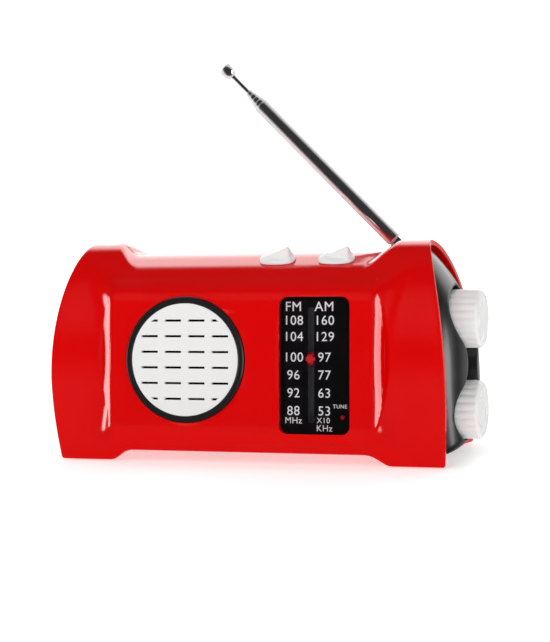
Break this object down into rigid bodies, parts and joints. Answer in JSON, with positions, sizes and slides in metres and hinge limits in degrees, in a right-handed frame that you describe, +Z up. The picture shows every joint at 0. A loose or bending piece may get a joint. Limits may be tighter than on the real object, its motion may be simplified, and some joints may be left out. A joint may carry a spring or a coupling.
{
  "type": "emergency radio",
  "caption": "Hand-cranked emergency radio: case with raised ends, round speaker grille, slide-rule dial, end knobs, end torch, fold-down telescopic aerial.",
  "frame": {"origin": "centre of the footprint, at the height the feet rest on", "axes": "+X towards the knobs on the user's right, +Y towards the crank on the back, +Z up"},
  "size_m": [0.188, 0.0717, 0.1627],
  "materials": {
    "red_case": "high gloss injection moulded",
    "black_cap": "satin gloss moulded",
    "reflector": "vacuum metallised",
    "led_lens": "clear epoxy",
    "clear_lens": "clear moulded",
    "black_trim": "satin moulded",
    "white_grille": "satin moulded",
    "plated_steel": "zinc plated",
    "cone_paper": "coated paper",
    "magnet": "ferrite with steel yoke",
    "dial_glass": "clear acrylic",
    "dial_black": "printed card, satin",
    "pointer_red": "painted",
    "track_grey": "printed card, satin",
    "cord": "braided",
    "nylon": "moulded nylon",
    "lamp_red": "tinted epoxy",
    "white_knob": "satin gloss moulded",
    "white_switch": "satin gloss moulded",
    "circuit_green": "solder mask",
    "ferrite": "sintered",
    "copper_wire": "enamelled wire",
    "battery_wrap": "printed sleeve",
    "black_crank": "fine texture",
    "brass_pinion": "machined",
    "antenna_chrome": "polished plating",
    "soft_rubber": "matt"
  },
  "bodies": {
    "case": {"front_shell": "red_case", "rear_shell": "red_case", "control_end_cap": "black_cap", "torch_end_cap": "black_cap", "torch_reflector": "reflector", "torch_leds": "led_lens", "torch_lens": "clear_lens", "grille_ring": "black_trim", "speaker_grille": "white_grille", "speaker_frame": "plated_steel", "speaker_cone": "cone_paper", "speaker_magnet": "magnet", "dial_window": "dial_glass", "dial_plate": "dial_black", "dial_backing": "track_grey", "dial_cord": "cord", "cord_pulleys": "nylon", "tuning_lamp": "lamp_red", "tuning_capacitor": "nylon", "volume_control": "plated_steel", "band_switch": "plated_steel", "power_switch": "plated_steel", "circuit_board": "circuit_green", "board_components": "black_trim", "ferrite_rod": "ferrite", "ferrite_coil": "copper_wire", "battery_pack": "battery_wrap", "idler_axle": "plated_steel", "generator": "plated_steel", "gear_plate": "plated_steel", "gear_plate_posts": "nylon", "antenna_socket": "black_trim", "headphone_jack": "black_trim", "charging_jack": "plated_steel", "case_screws": "plated_steel", "rubber_feet": "soft_rubber"},
    "tuning": {"tuning_knob": "white_knob", "tuning_shaft": "plated_steel"},
    "pointer": {"dial_pointer": "pointer_red"},
    "volume": {"volume_knob": "white_knob", "volume_shaft": "plated_steel"},
    "band_slider": {"band_switch_cap": "white_switch"},
    "power_slider": {"power_switch_cap": "white_switch"},
    "crank": {"crank_shaft": "plated_steel", "crank_arm": "black_crank", "grip_pin": "plated_steel", "drive_gear": "nylon"},
    "grip": {"crank_grip": "black_crank"},
    "idler": {"idler_gear": "nylon"},
    "rotor": {"generator_pinion": "brass_pinion"},
    "turret": {"antenna_turret": "antenna_chrome", "antenna_pin": "antenna_chrome"},
    "antenna_1": {"antenna_tube_1": "antenna_chrome"},
    "antenna_2": {"antenna_tube_2": "antenna_chrome"},
    "antenna_3": {"antenna_tube_3": "antenna_chrome"},
    "antenna_4": {"antenna_tube_4": "antenna_chrome"},
    "antenna_5": {"antenna_tip": "antenna_chrome"},
    "door": {"battery_door": "red_case"},
    "cover": {"jack_cover": "soft_rubber"}
  },
  "joints": [
    {"name": "tuning_turn", "type": "hinge", "parent": "case", "child": "tuning", "pos_m": [0.08, -0.00061, 0.05656], "axis": [1, 0, 0], "range_deg": [-135, 135]},
    {"name": "pointer_slide", "type": "slide", "parent": "case", "child": "pointer", "axis": [0, 0.1392, 0.9903], "range_m": [-0.0181, 0.0181]},
    {"name": "volume_turn", "type": "hinge", "parent": "case", "child": "volume", "pos_m": [0.08, -0.00568, 0.02052], "axis": [1, 0, 0], "range_deg": [-140, 140]},
    {"name": "band_switch_slide", "type": "slide", "parent": "case", "child": "band_slider", "axis": [1, 0, 0], "range_m": [-0.003, 0.003]},
    {"name": "power_switch_slide", "type": "slide", "parent": "case", "child": "power_slider", "axis": [1, 0, 0], "range_m": [-0.003, 0.003]},
    {"name": "crank_spin", "type": "hinge", "parent": "case", "child": "crank", "pos_m": [-0.014, 0.025, 0.044], "axis": [0, 1, 0], "continuous": true},
    {"name": "grip_spin", "type": "hinge", "parent": "crank", "child": "grip", "pos_m": [0.011, 0.031, 0.044], "axis": [0, 1, 0], "continuous": true},
    {"name": "idler_spin", "type": "hinge", "parent": "case", "child": "idler", "pos_m": [0.0112, 0.01, 0.044], "axis": [0, 1, 0], "continuous": true},
    {"name": "rotor_spin", "type": "hinge", "parent": "case", "child": "rotor", "pos_m": [0.0322, 0.008, 0.044], "axis": [0, 1, 0], "continuous": true},
    {"name": "antenna_swivel", "type": "hinge", "parent": "case", "child": "turret", "pos_m": [0.058, 0.018, 0.0757], "axis": [0, 0, 1], "range_deg": [-180, 180]},
    {"name": "antenna_tilt", "type": "hinge", "parent": "turret", "child": "antenna_1", "pos_m": [0.058, 0.018, 0.0823], "axis": [0, 1, 0], "range_deg": [-46, 44]},
    {"name": "antenna_slide_1", "type": "slide", "parent": "antenna_1", "child": "antenna_2", "axis": [-0.6947, 0, 0.7193], "range_m": [0, 0.068]},
    {"name": "antenna_slide_2", "type": "slide", "parent": "antenna_2", "child": "antenna_3", "axis": [-0.6947, 0, 0.7193], "range_m": [0, 0.068]},
    {"name": "antenna_slide_3", "type": "slide", "parent": "antenna_3", "child": "antenna_4", "axis": [-0.6947, 0, 0.7193], "range_m": [0, 0.068]},
    {"name": "antenna_slide_4", "type": "slide", "parent": "antenna_4", "child": "antenna_5", "axis": [-0.6947, 0, 0.7193], "range_m": [0, 0.068]},
    {"name": "battery_door_open", "type": "hinge", "parent": "case", "child": "door", "pos_m": [-0.022, 0.016, 0.0062], "axis": [1, 0, 0], "range_deg": [0, 95]},
    {"name": "jack_cover_open", "type": "hinge", "parent": "case", "child": "cover", "pos_m": [0.034, 0.0281, 0.0182], "axis": [1, 0, 0], "range_deg": [-90, 0]}
  ],
  "couplings": [
    {"joint": "pointer_slide", "follows": "tuning_turn", "m_per_rad": 0.00764},
    {"joint": "idler_spin", "follows": "crank_spin", "ratio": -5},
    {"joint": "rotor_spin", "follows": "crank_spin", "ratio": 25}
  ]
}
